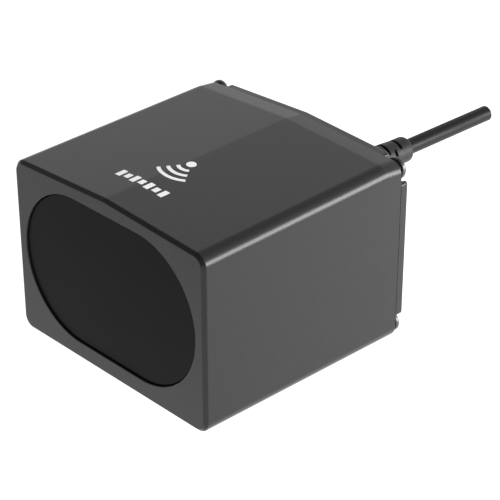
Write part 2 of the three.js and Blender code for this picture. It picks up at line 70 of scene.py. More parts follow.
def add_camera():
    away = Vector((
        math.sin(CAMERA_AZIMUTH) * math.cos(CAMERA_ELEVATION),
        -math.cos(CAMERA_AZIMUTH) * math.cos(CAMERA_ELEVATION),
        math.sin(CAMERA_ELEVATION),
    ))
    data = bpy.data.cameras.new("camera")
    data.lens = CAMERA_LENS
    data.sensor_width = 36
    data.clip_start = 0.01
    data.clip_end = 20
    camera = bpy.data.objects.new("camera", data)
    camera.location = (CAMERA_AIM + away * CAMERA_DISTANCE) * MM
    camera.rotation_euler = (-away).to_track_quat("-Z", "Y").to_euler()
    bpy.context.scene.collection.objects.link(camera)
    bpy.context.scene.camera = camera


# ---- Driving dimensions, from the frame ------------------------------------------------------------

HOUSING_LOW, HOUSING_HIGH = corners("front_housing")
COVER_LOW, COVER_HIGH = corners("rear_cover")
WINDOW_LOW, WINDOW_HIGH = corners("optical_window")
SLEEVE_LOW, SLEEVE_HIGH = corners("strain_relief")
LEAD_LOW, LEAD_HIGH = corners("signal_lead")

HALF = HOUSING_HIGH.x
FRONT = HOUSING_LOW.y
SHELL_END = HOUSING_HIGH.y
RIDGE = HOUSING_HIGH.z
REAR = COVER_HIGH.y

RIDGE_RISE = 0.95  # the ridge stands this far above the eaves
ROOF_DRAFT = 1.25  # the roof climbs this much from the front face to the rear band
BAND_LENGTH = 4.9
BAND_DROP = 0.45
BAND_START = REAR - BAND_LENGTH
CORNER_RADIUS = 2.2
FACE_CHAMFER = 0.55
EDGE_EASE = 0.14  # the small round on every machined or moulded edge
EAVE_HIGH = RIDGE - RIDGE_RISE
EAVE_FRONT = EAVE_HIGH - ROOF_DRAFT
EAVE_REAR = EAVE_HIGH - BAND_DROP
COVER_EDGE = EAVE_REAR + 0.1
OPTIC_Z = (WINDOW_LOW.z + WINDOW_HIGH.z) / 2

SIDE_WALL = 2
FLOOR_WALL = 2.5
FRONT_WALL = 3
CAVITY_HALF = HALF - SIDE_WALL
CAVITY_TOP = EAVE_FRONT - SIDE_WALL
CAVITY_MIDDLE = (FLOOR_WALL + CAVITY_TOP) / 2
CORNER_LAND = 8.6
CORNER_LAND_DEPTH = 4

BOSS_RADIUS = 2.4
BOSS_START = BAND_START - 8
SCREW_HOLE_RADIUS = 1
SCREW_HOLE_START = BAND_START - 4
POST_RADIUS = 1.7
POST_END = -9.1
POST_HOLE_RADIUS = 0.8
POST_HOLE_START = -14.5
FOOT_RADIUS = 2.8
FOOT_HEIGHT = 4.8
BASE_HOLE_RADIUS = 1.25  # tapping size of M3
BASE_HOLE_DEPTH = 4
BASE_SINK_RADIUS = 1.75
BASE_SINK_DEPTH = 0.3

WINDOW_POCKET = 2.2
POCKET_GAP = 0.1
WINDOW_RADIUS = (WINDOW_HIGH.z - WINDOW_LOW.z) / 2
WINDOW_STRAIGHT = WINDOW_HIGH.x - WINDOW_RADIUS
APERTURE_RADIUS = 10.8

SCREWS = [corners(f"cover_screw_{i}") for i in (1, 2, 3, 4)]
SCREW_X = max((low.x + high.x) / 2 for low, high in SCREWS)
SCREW_LOW = min((low.z + high.z) / 2 for low, high in SCREWS)
SCREW_HIGH = max((low.z + high.z) / 2 for low, high in SCREWS)
SCREW_INSET = HALF - SCREW_X
COVER_THICKNESS = REAR - SHELL_END - 0.05
NOTCH_RADIUS = 2.25
NOTCH_EASE = 0.5
EAR_RADIUS = 1.45
EAR_THICKNESS = 0.4
EAR_REACH = 1.5  # how far inward of the screw each ear runs on
EAR_HOLE_RADIUS = 1.15
LEAD_HOLE_RADIUS = 2.2
SPIGOT_DEPTH = 1.3

STACK_X = 16.2
STACK_Z = 9
BASE_X = 13
BASE_Y = 12

LEAD_X = (LEAD_LOW.x + LEAD_HIGH.x) / 2
LEAD_Z = (LEAD_LOW.z + LEAD_HIGH.z) / 2
LEAD_RADIUS = (LEAD_HIGH.x - LEAD_LOW.x) / 2

# The lead's route, in metres: straight out of the cover, inside the sleeve, to its cut end.
LEAD_ROUTE = [
    (0.010, 0.0211, 0.0249), (0.010, 0.0233, 0.0249), (0.010, 0.0255, 0.0249), (0.010, 0.0277, 0.0249),
    (0.010, 0.0299, 0.0249), (0.010, 0.0321, 0.0249), (0.010, 0.0343, 0.0249), (0.010, 0.0365, 0.0249),
    (0.010, 0.0387, 0.0249), (0.010, 0.0409, 0.0249), (0.010, 0.0431, 0.0249), (0.010, 0.0452, 0.0249),
    (0.010, 0.0473, 0.0249), (0.010, 0.0494, 0.0249), (0.010, 0.0515, 0.0249), (0.010, 0.0535, 0.0249),
]

screw_points = [(side * SCREW_X, z) for z in (SCREW_LOW, SCREW_HIGH) for side in (-1, 1)]
stack_points = [(side * STACK_X, OPTIC_Z + up * STACK_Z) for up in (-1, 1) for side in (-1, 1)]
base_points = [(side * BASE_X, end * BASE_Y) for end in (-1, 1) for side in (-1, 1)]


# ---- Node materials --------------------------------------------------------------------------------

def grey(value):
    """A neutral linear colour."""
    return (value, value, value, 1)


class Look:
    """A Principled material whose texture nodes are added by small calls."""

    def __init__(self, name, **constants):
        self.material = bpy.data.materials.new(name)
        self.material.use_nodes = True
        self.tree = self.material.node_tree
        self.shader = self.tree.nodes["Principled BSDF"]
        for socket, value in constants.items():
            self.shader.inputs[socket.replace("_", " ")].default_value = value
        self.place = self.tree.nodes.new("ShaderNodeTexCoord").outputs["Object"]

    def node(self, kind, **settings):
        made = self.tree.nodes.new(kind)
        for name, value in settings.items():
            setattr(made, name, value)
        return made

    def link(self, output, target):
        self.tree.links.new(output, target)

    def noise(self, scale, detail=4, stretch=None):
        """Noise with `scale` cells to the metre, drawn out along the axes that `stretch` shrinks."""
        made = self.node("ShaderNodeTexNoise")
        made.inputs["Scale"].default_value = scale
        made.inputs["Detail"].default_value = detail
        self.link(self.stretched(stretch), made.inputs["Vector"])
        return made.outputs["Fac"]

    def cells(self, scale):
        made = self.node("ShaderNodeTexVoronoi")
        made.inputs["Scale"].default_value = scale
        self.link(self.place, made.inputs["Vector"])
        return made.outputs["Distance"]

    def stretched(self, stretch):
        if not stretch:
            return self.place
        made = self.node("ShaderNodeMapping")
        made.inputs["Scale"].default_value = stretch
        self.link(self.place, made.inputs["Vector"])
        return made.outputs["Vector"]

    def ramp(self, value, low, high):
        """Colours `low` to `high` as value runs from 0.3 to 0.7."""
        made = self.node("ShaderNodeValToRGB")
        made.color_ramp.elements[0].position = 0.3
        made.color_ramp.elements[0].color = low
        made.color_ramp.elements[1].position = 0.7
        made.color_ramp.elements[1].color = high
        self.link(value, made.inputs["Fac"])
        return made.outputs["Color"]

    def span(self, value, low, high):
        made = self.node("ShaderNodeMapRange")
        made.inputs["From Min"].default_value = 0.3
        made.inputs["From Max"].default_value = 0.7
        made.inputs["To Min"].default_value = low
        made.inputs["To Max"].default_value = high
        self.link(value, made.inputs["Value"])
        return made.outputs["Result"]

    def colour(self, value, low, high):
        self.link(self.ramp(value, low, high), self.shader.inputs["Base Color"])
        return self

    def roughness(self, value, low, high):
        self.link(self.span(value, low, high), self.shader.inputs["Roughness"])
        return self

    def bump(self, value, depth, strength=1.0):
        """Relief of `depth` millimetres."""
        made = self.node("ShaderNodeBump")
        made.inputs["Distance"].default_value = depth * MM
        made.inputs["Strength"].default_value = strength
        self.link(value, made.inputs["Height"])
        self.link(made.outputs["Normal"], self.shader.inputs["Normal"])
        return self


def housing_paint():
    """Satin powder coat on cast aluminium: even grey with a fine pebble."""
    look = Look("satin_grey_coat", Specular_IOR_Level=0.34)
    look.colour(look.noise(900, 6), grey(0.017), grey(0.020))
    look.roughness(look.noise(2600, 3), 0.27, 0.30)
    return look.bump(look.noise(7000, 2), 0.004, 0.35).material


def cover_paint():
    look = Look("cover_grey_coat", Specular_IOR_Level=0.35)
    look.colour(look.noise(800, 5), grey(0.018), grey(0.023))
    look.roughness(look.noise(2400, 3), 0.27, 0.31)
    return look.bump(look.noise(6500, 2), 0.004, 0.35).material


def window_acrylic():
    """Infrared-pass acrylic: near black, with faint flow marks from moulding."""
    look = Look("infrared_window", IOR=1.3, Specular_IOR_Level=0.12)
    look.colour(look.noise(90, 3), (0.004, 0.004, 0.0045, 1), (0.005, 0.005, 0.006, 1))
    look.roughness(look.noise(160, 2), 0.30, 0.36)
    return look.bump(look.noise(400, 2), 0.002, 0.2).material


def soft_black():
    """Matt thermoplastic rubber of the sleeve and the gaskets."""
    look = Look("matt_black_rubber", IOR=1.45, Sheen_Weight=0.05)
    look.colour(look.noise(1500, 4), grey(0.012), grey(0.018))
    look.roughness(look.noise(3000, 3), 0.55, 0.68)
    return look.bump(look.noise(9000, 2), 0.006, 0.5).material


def jacket():
    """The lead's extruded jacket, with faint draw lines along its length."""
    look = Look("lead_jacket", Specular_IOR_Level=0.25)
    look.colour(look.noise(1200, 4, (1, 0.08, 1)), grey(0.003), grey(0.005))
    look.roughness(look.noise(2500, 3, (1, 0.05, 1)), 0.42, 0.54)
    return look.bump(look.noise(5000, 3, (1, 0.03, 1)), 0.006, 0.5).material


def metal(name, low, high, rough_low, rough_high, stretch=None):
    look = Look(name, Metallic=1.0)
    look.colour(look.noise(1400, 4, stretch), low, high)
    look.roughness(look.noise(3200, 4, stretch), rough_low, rough_high)
    return look.bump(look.noise(8000, 2, stretch), 0.003, 0.4).material


def plastic(name, low, high, rough_low=0.4, rough_high=0.55):
    look = Look(name, Specular_IOR_Level=0.38)
    look.colour(look.noise(1100, 4), low, high)
    look.roughness(look.noise(2600, 3), rough_low, rough_high)
    return look.bump(look.noise(7000, 2), 0.004, 0.4).material


def glass(name, colour, rough):
    """Clear optical material with a coating whose depth varies a little over the face."""
    look = Look(name, IOR=1.52, Transmission_Weight=1.0, Coat_Weight=0.5, Coat_Tint=(0.55, 0.45, 0.95, 1))
    tint = tuple(0.93 * part for part in colour[:3]) + (1,)
    look.colour(look.noise(120, 2), tint, colour)
    return look.roughness(look.noise(500, 2), rough, rough + 0.03).material


def board_laminate():
    """Solder mask over a woven laminate, with paler patches where copper lies under it."""
    look = Look("board_laminate", IOR=1.55, Coat_Weight=0.3)
    look.colour(look.cells(420), (0.010, 0.070, 0.032, 1), (0.018, 0.115, 0.052, 1))
    look.roughness(look.noise(1800, 3), 0.32, 0.45)
    return look.bump(look.cells(1500), 0.012, 0.5).material


def foam():
    look = Look("black_foam", IOR=1.4)
    look.colour(look.cells(3200), grey(0.008), grey(0.022))
    look.roughness(look.noise(2000, 3), 0.85, 0.95)
    return look.bump(look.cells(3200), 0.08, 0.9).material


def ink_with_painted_light():
    """Pad-printed white, with a painted glow: the ink emits light of its own, so it reads brighter than the
    lamps make it.
    """
    look = Look("white_ink_painted_light", IOR=1.45)
    look.colour(look.noise(2500, 4), grey(0.86), grey(0.93))
    look.roughness(look.noise(3000, 3), 0.45, 0.6)
    # Painted glow: the white ink emits light though it is no lamp.
    look.shader.inputs["Emission Color"].default_value = (1, 1, 1, 1)
    look.shader.inputs["Emission Strength"].default_value = 0.35
    return look.bump(look.noise(8000, 2), 0.002, 0.3).material


looks = {
    "housing": housing_paint(),
    "cover": cover_paint(),
    "window": window_acrylic(),
    "seal": soft_black(),
    "relief_rubber": plastic("sleeve_rubber", grey(0.012), grey(0.016), 0.46, 0.56),
    "lead_jacket": jacket(),
    "black_plastic": plastic("black_glass_nylon", grey(0.012), grey(0.020), 0.45, 0.6),
    "lens": glass("coated_lens_glass", (0.97, 0.98, 1.0, 1), 0.01),
    "filter": glass("bandpass_filter_glass", (0.30, 0.02, 0.05, 1), 0.03),
    "ring": metal("black_anodised_ring", grey(0.020), grey(0.032), 0.35, 0.5),
    "foam": foam(),
    "board": board_laminate(),
    "gilt_can": metal("gilt_can", (0.83, 0.60, 0.26, 1), (0.90, 0.68, 0.33, 1), 0.18, 0.28),
    "tinned": metal("tinned_steel", grey(0.52), grey(0.62), 0.3, 0.42),
    "ceramic": plastic("capacitor_ceramic", (0.46, 0.33, 0.20, 1), (0.56, 0.42, 0.27, 1)),
    "chip": plastic("chip_resin", grey(0.016), grey(0.028), 0.5, 0.65),
    "ferrite": plastic("pressed_ferrite", grey(0.040), grey(0.065), 0.6, 0.75),
    "capacitor_can": metal("aluminium_can", grey(0.66), grey(0.74), 0.25, 0.35, (1, 0.1, 1)),
    "ivory": plastic("ivory_nylon", (0.72, 0.66, 0.50, 1), (0.80, 0.74, 0.58, 1)),
    "brass": metal("turned_brass", (0.62, 0.44, 0.16, 1), (0.72, 0.53, 0.22, 1), 0.25, 0.38, (0.1, 1, 0.1)),
    "screw": metal("blued_steel", grey(0.09), grey(0.12), 0.34, 0.42),
}
INK_WITH_PAINTED_LIGHT = ink_with_painted_light()
COPPER = metal("copper_strands", (0.80, 0.36, 0.18, 1), (0.90, 0.45, 0.25, 1), 0.25, 0.35)


# ---- Mesh building ---------------------------------------------------------------------------------

def link_object(name, mesh):
    made = bpy.data.objects.new(name, mesh)
    bpy.context.scene.collection.objects.link(made)
    return made


def from_rings(name, rings):
    """A body through rings of equal point count; each ring is a list of points in millimetres."""
    shape = bmesh.new()
    rows = [[shape.verts.new(Vector(point) * MM) for point in ring] for ring in rings]
    for near, far in zip(rows, rows[1:]):
        for i, start in enumerate(near):
            j = (i + 1) % len(near)
            shape.faces.new((start, near[j], far[j], far[i]))
    shape.faces.new(rows[0][::-1])
    shape.faces.new(rows[-1])
    bmesh.ops.recalc_face_normals(shape, faces=shape.faces)
    mesh = bpy.data.meshes.new(name)
    shape.to_mesh(mesh)
    shape.free()
    return link_object(name, mesh)


def at_depth(points, y):
    return [(x, y, z) for x, z in points]


def prism(name, make, steps):
    """`make(grow)` gives the outline; steps are (depth, grow) pairs from front to rear."""
    return from_rings(name, [at_depth(make(grow), y) for y, grow in steps])


def arc(x, z, radius, start, end, steps=14):
    """Points in the XZ plane; angles in degrees, counted from +X towards +Z."""
    angles = [math.radians(start + (end - start) * i / steps) for i in range(steps + 1)]
    return [(x + radius * math.cos(a), z + radius * math.sin(a)) for a in angles]


def circle(x, z, radius, steps=48):
    return arc(x, z, radius, 0, 360, steps)[:-1]


def turned(name, x, z, profile, steps=64):
    """A profile of (radius, depth) pairs turned about an axis along Y, closed at both ends."""
    return from_rings(name, [at_depth(circle(x, z, radius, steps), y) for radius, y in profile])


def rounded_profile(profile, radius, steps=4):
    """The same (radius, depth) profile with each inner corner eased by an arc-like curve."""
    eased = [profile[0]]
    for before, corner, after in zip(profile, profile[1:], profile[2:]):
        a, b, c = Vector(before), Vector(corner), Vector(after)
        reach = min(radius, (a - b).length * 0.45, (c - b).length * 0.45)
        start = b + (a - b).normalized() * reach
        end = b + (c - b).normalized() * reach
        for i in range(steps + 1):
            t = i / steps
            eased.append(tuple(start * (1 - t) ** 2 + b * 2 * t * (1 - t) + end * t ** 2))
    return eased + [profile[-1]]


def settle(target):
    """Applies the target's modifiers to its mesh."""
    graph = bpy.context.evaluated_depsgraph_get()
    mesh = bpy.data.meshes.new_from_object(target.evaluated_get(graph))
    target.modifiers.clear()
    old = target.data
    target.data = mesh
    bpy.data.meshes.remove(old)
    mesh.name = target.name


def merged(objects):
    """The objects' meshes as one, in the first object."""
    shape = bmesh.new()
    for each in objects:
        shape.from_mesh(each.data)
    shape.to_mesh(objects[0].data)
    shape.free()
    for each in objects[1:]:
        bpy.data.meshes.remove(each.data)
    return objects[0]


def combine(target, tools, operation):
    for tool in tools:
        change = target.modifiers.new(operation.lower(), "BOOLEAN")
        change.operation = operation
        change.solver = "EXACT"
        change.object = tool
        settle(target)
        bpy.data.meshes.remove(tool.data)


def smooth(target, angle=28):
    """Smooth shading with crisp edges, flat faces kept flat."""
    target.data.shade_smooth()
    target.data.set_sharp_from_angle(angle=math.radians(angle))
    even = target.modifiers.new("even_normals", "WEIGHTED_NORMAL")
    even.keep_sharp = True
    even.weight = 80


def finish_piece(target, slot, nodes=(), material=None):
    """Paints the piece, hangs it on the body and hides the CAD nodes it stands for."""
    target.data.materials.clear()
    target.data.materials.append(material or looks[slot])
    if nodes:
        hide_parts(*nodes)
    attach(target, "root")
    return target


# ---- Outlines, drawn as seen from the front --------------------------------------------------------

def gabled(half, low, eave, radius):
    """Rounded corners and a roof that rises to a softened ridge on the centre line."""
    slope = math.degrees(math.atan2(RIDGE_RISE, half - radius))
    ridge_ease = 0.3
    drop = ridge_ease * RIDGE_RISE / (half - radius)
    return [
        *arc(half - radius, low + radius, radius, -90, 0),
        *arc(half - radius, eave - radius, radius, 0, 90 - slope),
        (ridge_ease, eave + RIDGE_RISE - drop),
        (0, eave + RIDGE_RISE - drop * 0.5),
        (-ridge_ease, eave + RIDGE_RISE - drop),
        *arc(-half + radius, eave - radius, radius, 90 + slope, 180),
        *arc(-half + radius, low + radius, radius, 180, 270),
    ]


def obround(straight, radius):
    return [
        *arc(straight, OPTIC_Z, radius, -90, 90, 48),
        *arc(-straight, OPTIC_Z, radius, 90, 270, 48),
    ]


def rounded(x, z, width, height, radius):
    right, left = x + width / 2 - radius, x - width / 2 + radius
    high, low = z + height / 2 - radius, z - height / 2 + radius
    return [
        *arc(right, low, radius, -90, 0, 8),
        *arc(right, high, radius, 0, 90, 8),
        *arc(left, high, radius, 90, 180, 8),
        *arc(left, low, radius, 180, 270, 8),
    ]


def clipped(half, low, high, corner):
    """A rectangle whose corners are cut at 45 degrees, so that it passes inside the cover screws."""
    right = [(half - corner, low), (half, low + corner), (half, high - corner), (half - corner, high)]
    return right + [(-x, z) for x, z in reversed(right)]


def notched_corner(inset, rise):
    """A lower right corner of the cover with the hollow round its screw, from the low side to the right."""
    reach = NOTCH_RADIUS + NOTCH_EASE
    below, beside = rise - NOTCH_EASE, SCREW_INSET - NOTCH_EASE
    run, climb = math.sqrt(reach ** 2 - below ** 2), math.sqrt(reach ** 2 - beside ** 2)
    tilt, lean = math.degrees(math.asin(below / reach)), math.degrees(math.asin(beside / reach))
    ease = NOTCH_EASE - inset
    return [
        *arc(SCREW_X - run, NOTCH_EASE, ease, -90, tilt, 10),
        *arc(SCREW_X, rise, NOTCH_RADIUS + inset, 180 + tilt, 90 - lean, 20)[1:],
        *arc(HALF - NOTCH_EASE, rise + climb, ease, -90 - lean, 0, 10)[1:],
    ]


def cover_outline(inset):
    low = notched_corner(inset, SCREW_LOW)
    high = [(x, COVER_EDGE - z) for x, z in reversed(notched_corner(inset, COVER_EDGE - SCREW_HIGH))]
    ridge = (0, EAVE_REAR + RIDGE_RISE - inset)
    left_high = [(-x, z) for x, z in reversed(high)]
    left_low = [(-x, z) for x, z in reversed(low)]
    return [*low, *high, ridge, *left_high, *left_low]


# ---- Enclosure -------------------------------------------------------------------------------------

def ease_steps(radius, count=4):
    """(depth, inset) pairs of a quarter round that starts on a face and ends on a side."""
    angles = [math.radians(90 * i / count) for i in range(count + 1)]
    return [(radius * (1 - math.cos(a)), radius * (1 - math.sin(a))) for a in angles]


def housing_sections():
    """Cross-sections from the front face to the open rear: chamfer, climbing roof, falling rear band."""
    chamfer = FACE_CHAMFER
    soft = EDGE_EASE
    steps = [
        (FRONT, chamfer + soft, EAVE_FRONT - chamfer - soft),
        (FRONT + soft * 0.3, chamfer - soft * 0.1, EAVE_FRONT - chamfer + soft * 0.1),
        (FRONT + chamfer - soft * 0.1, soft * 0.3, EAVE_FRONT - soft * 0.3),
        (FRONT + chamfer + soft, 0, EAVE_FRONT),
    ]
    climb = (EAVE_HIGH - EAVE_FRONT) / (BAND_START - FRONT)
    fall = BAND_DROP / BAND_LENGTH
    ease = 0.3
    rim = 0.07
    end = EAVE_HIGH - fall * (SHELL_END - BAND_START)
    steps += [
        (BAND_START - ease, 0, EAVE_HIGH - ease * climb),
        (BAND_START, 0, EAVE_HIGH - ease * fall * 0.3),
        (BAND_START + ease, 0, EAVE_HIGH - ease * fall),
        (SHELL_END - rim, 0, end + rim * fall),
        (SHELL_END - rim * 0.3, rim * 0.3, end - rim * 0.3),
        (SHELL_END, rim, end - rim),
    ]
    return steps


def housing():
    body = from_rings("housing_shell", [
        at_depth(gabled(HALF - inset, inset, eave, CORNER_RADIUS - min(inset, FACE_CHAMFER)), y)
        for y, inset, eave in housing_sections()
    ])
    cavity = prism(
        "cavity",
        lambda grow: rounded(0, CAVITY_MIDDLE, CAVITY_HALF * 2, CAVITY_TOP - FLOOR_WALL, 1),
        [(FRONT + FRONT_WALL, 0), (SHELL_END + 1, 0)],
    )
    height = CAVITY_TOP - FLOOR_WALL + 1
    land = SHELL_END - CORNER_LAND_DEPTH
    webs = prism("webs", lambda grow: rounded(0, CAVITY_MIDDLE, CAVITY_HALF * 2 + 1, height, 1),
                 [(land, 0), (REAR, 0)])
    opening = prism(
        "opening",
        lambda grow: clipped(CAVITY_HALF + 1, FLOOR_WALL - 1, CAVITY_TOP + 1, CORNER_LAND),
        [(land - 1, 0), (REAR + 1, 0)],
    )
    combine(webs, [opening], "DIFFERENCE")
    bosses = [turned("boss", x, z, [(BOSS_RADIUS, BOSS_START), (BOSS_RADIUS, REAR)], 32)
              for x, z in screw_points]
    posts = [turned("post", x, z, [(POST_RADIUS, FRONT), (POST_RADIUS, POST_END)], 24)
             for x, z in stack_points]
    feet = [upright("foot", x, y, FOOT_RADIUS, 0, FOOT_HEIGHT) for x, y in base_points]
    combine(cavity, [webs, *bosses, *posts, *feet], "DIFFERENCE")

    pocket_radius = WINDOW_RADIUS + POCKET_GAP
    pocket = prism("pocket", lambda grow: obround(WINDOW_STRAIGHT, pocket_radius + grow), [
        (FRONT - 0.2, EDGE_EASE + 0.2), (FRONT, EDGE_EASE), (FRONT + 0.04, EDGE_EASE * 0.45),
        (FRONT + 0.09, EDGE_EASE * 0.12), (FRONT + EDGE_EASE, 0), (FRONT + WINDOW_POCKET, 0),
    ])
    aperture = prism("aperture", lambda grow: obround(WINDOW_STRAIGHT, APERTURE_RADIUS),
                     [(FRONT, 0), (FRONT + FRONT_WALL + 0.5, 0)])
    screw_hole = [(SCREW_HOLE_RADIUS, SCREW_HOLE_START), (SCREW_HOLE_RADIUS, REAR)]
    screw_holes = [turned("hole", x, z, screw_hole, 24) for x, z in screw_points]
    post_holes = [turned("hole", x, z, [(POST_HOLE_RADIUS, POST_HOLE_START), (POST_HOLE_RADIUS, 0)], 24)
                  for x, z in stack_points]
    base_holes = [upright("hole", x, y, BASE_HOLE_RADIUS, -1, BASE_HOLE_DEPTH) for x, y in base_points]
    sinks = [upright("sink", x, y, BASE_SINK_RADIUS, -1, BASE_SINK_DEPTH, BASE_HOLE_RADIUS)
             for x, y in base_points]
    combine(body, [cavity, pocket, aperture, *screw_holes, *post_holes, *base_holes, *sinks], "DIFFERENCE")
    smooth(body)
    return finish_piece(body, "housing", ["front_housing"])


def upright(name, x, y, radius, low, high, top_radius=None):
    """A round tool along Z; with a top radius its upper part narrows, as a countersink does."""
    levels = [(low, radius), (high, top_radius or radius)]
    if top_radius:
        levels.insert(1, (0, radius))
    rings = [[(px, py, z) for px, py in circle(x, y, r, 32)] for z, r in levels]
    return from_rings(name, rings)


def window():
    front, rear = WINDOW_LOW.y, WINDOW_HIGH.y
    ease = 0.18
    steps = [(front + depth, -inset) for depth, inset in ease_steps(ease)] + [(rear, 0)]
    pane = prism("infrared_pane", lambda grow: obround(WINDOW_STRAIGHT, WINDOW_RADIUS + grow), steps)
    smooth(pane, 40)
    return finish_piece(pane, "window", ["optical_window"])


def cover():
    inner = REAR - COVER_THICKNESS
    rim = 0.35
    steps = [(inner, 0.03), (inner + 0.03, 0)]
    steps += [(REAR - depth, inset) for depth, inset in reversed(ease_steps(rim, 5))]
    plate = from_rings("cover_plate", [at_depth(cover_outline(inset), y) for y, inset in steps])
    spigot = prism("spigot", lambda grow: clipped(18.6 + grow, 3.8 - grow, 27.2 + grow, 4.6),
                   [(inner - SPIGOT_DEPTH, -0.2), (inner - SPIGOT_DEPTH + 0.2, 0), (inner + 0.2, 0)])
    ears = []
    for x, z in screw_points:
        inward = Vector((-math.copysign(EAR_REACH, x), math.copysign(EAR_REACH, OPTIC_Z - z)))
        for along in (0, 1):
            ears.append(turned("ear", x + inward.x * along, z + inward.y * along,
                               [(EAR_RADIUS, inner), (EAR_RADIUS, inner + EAR_THICKNESS)], 40))
    combine(plate, [spigot, *ears], "UNION")
    holes = [turned("hole", x, z, [(EAR_HOLE_RADIUS, 0), (EAR_HOLE_RADIUS, REAR + 1)], 24)
             for x, z in screw_points]
    lead_hole = turned("hole", LEAD_X, LEAD_Z,
                       [(LEAD_HOLE_RADIUS, 0), (LEAD_HOLE_RADIUS, REAR + 1)], 48)
    groove = ring_band("groove", inner - 0.02, inner + 0.27, 0.05)
    combine(plate, [*holes, lead_hole, groove], "DIFFERENCE")
    smooth(plate)
    return finish_piece(plate, "cover", ["rear_cover"])


def ring_band(name, front, rear, grow):
    """The clipped rectangular band of the groove that the rear gasket sits in."""
    band = prism(name, lambda more: clipped(20.5 + grow, 1.9 - grow, 29.1 + grow, 5.6),
                 [(front, 0), (rear, 0)])
    middle = prism("middle", lambda more: clipped(19.3 - grow, 3.1 + grow, 27.9 - grow, 4.9),
                   [(front - 1, 0), (rear + 1, 0)])
    combine(band, [middle], "DIFFERENCE")
    return band


def cover_screws():
    """Low heads with a rounded rim and a hex socket with a dished floor."""
    for i, (x, z) in enumerate(screw_points, 1):
        node = f"cover_screw_{i}"
        low, high = corners(node)
        radius, top = (high.x - low.x) / 2, high.y
        seat = REAR - COVER_THICKNESS + EAR_THICKNESS
        profile = [(0.8, low.y), (0.8, seat), (radius, seat), (radius, top), (0.3, top)]
        head = turned(f"screw_head_{i}", x, z, rounded_profile(profile, 0.3), 56)
        socket = from_rings("socket", [
            at_depth(circle(x, z, 1.0, 6), top + 0.2), at_depth(circle(x, z, 0.83, 6), top + 0.01),
            at_depth(circle(x, z, 0.75, 6), top - 0.08), at_depth(circle(x, z, 0.75, 6), seat + 0.3),
            at_depth(circle(x, z, 0.25, 6), seat + 0.1),
        ])
        combine(head, [socket], "DIFFERENCE")
        smooth(head)
        finish_piece(head, "screw", [node])


# ---- Sleeve and lead -------------------------------------------------------------------------------

SLOT_COUNT = 5
SLOT_START = 3.9
SLOT_PITCH = 1.45
SLOT_WIDTH = 0.6
SLOT_FLOOR = 1.3
SLOT_SPAN_UP = 4.2
SLOT_SPAN_SIDE = 3.4
SLEEVE_BORE = 1.42
NECK_RADIUS = 2
FLANGE_RADIUS = 3.3
FLANGE_THICKNESS = 1
BODY_RADIUS = 2.65
COLLAR_RADIUS = 2.15
COLLAR_EASE = 0.6


def slot_tool(name, angle, span, y):
    """A short curved slot, seen as a sector of a ring between two depths, with a rounded floor."""
    half = SLOT_WIDTH / 2
    outer = 3.6
    centre = math.radians(angle)
    across = Vector((-math.sin(centre), math.cos(centre)))
    out = Vector((math.cos(centre), math.sin(centre)))
    rings = []
    for depth, floor in ((-half, 0.12), (-half * 0.6, 0.03), (half * 0.6, 0.03), (half, 0.12)):
        near, far = SLOT_FLOOR + floor, outer
        spots = [out * near - across * span / 2, out * near + across * span / 2,
                 out * far + across * span / 2, out * far - across * span / 2]
        rings.append([(LEAD_X + s.x, y + depth, LEAD_Z + s.y) for s in spots])
    return from_rings(name, rings)


def sleeve():
    """The moulded strain relief: flange, tapered body with staggered slots, plain collar."""
    face = REAR + 0.1
    end = SLEEVE_HIGH.y
    profile = [
        (1.6, SLEEVE_LOW.y), (NECK_RADIUS, SLEEVE_LOW.y), (NECK_RADIUS, face), (FLANGE_RADIUS, face),
        (FLANGE_RADIUS, face + FLANGE_THICKNESS), (BODY_RADIUS, face + 1.5),
        (COLLAR_RADIUS, end - 2.4), (COLLAR_RADIUS, end),
    ]
    eased = rounded_profile(profile, 0.28, 5)[:-1]
    collar = arc(COLLAR_RADIUS - COLLAR_EASE, end - COLLAR_EASE, COLLAR_EASE, 0, 90, 6)
    body = turned("relief_sleeve", LEAD_X, LEAD_Z, eased + collar, 72)
    bore = turned("bore", LEAD_X, LEAD_Z, [(SLEEVE_BORE, SLEEVE_LOW.y - 1), (SLEEVE_BORE, end + 1)], 48)
    tools = [bore]
    for i in range(SLOT_COUNT):
        y = REAR + SLOT_START + i * SLOT_PITCH
        for way in (0, 180):
            turn, span = (way, SLOT_SPAN_SIDE) if i % 2 else (way + 90, SLOT_SPAN_UP)
            tools.append(slot_tool("slot", turn, span, y))
    combine(body, tools, "DIFFERENCE")
    smooth(body, 32)
    return finish_piece(body, "relief_rubber", ["strain_relief"])


def lead():
    """The free lead as a round curve along its route."""
    line = bpy.data.curves.new("free_lead", "CURVE")
    line.dimensions = "3D"
    line.bevel_depth = LEAD_RADIUS * MM
    line.bevel_resolution = 10
    line.use_fill_caps = True
    spline = line.splines.new("POLY")
    spline.points.add(len(LEAD_ROUTE) - 1)
    for point, place in zip(spline.points, LEAD_ROUTE):
        point.co = (*place, 1)
    spline.use_smooth = True
    made = link_object("free_lead", line)
    return finish_piece(made, "lead_jacket", ["signal_lead"])


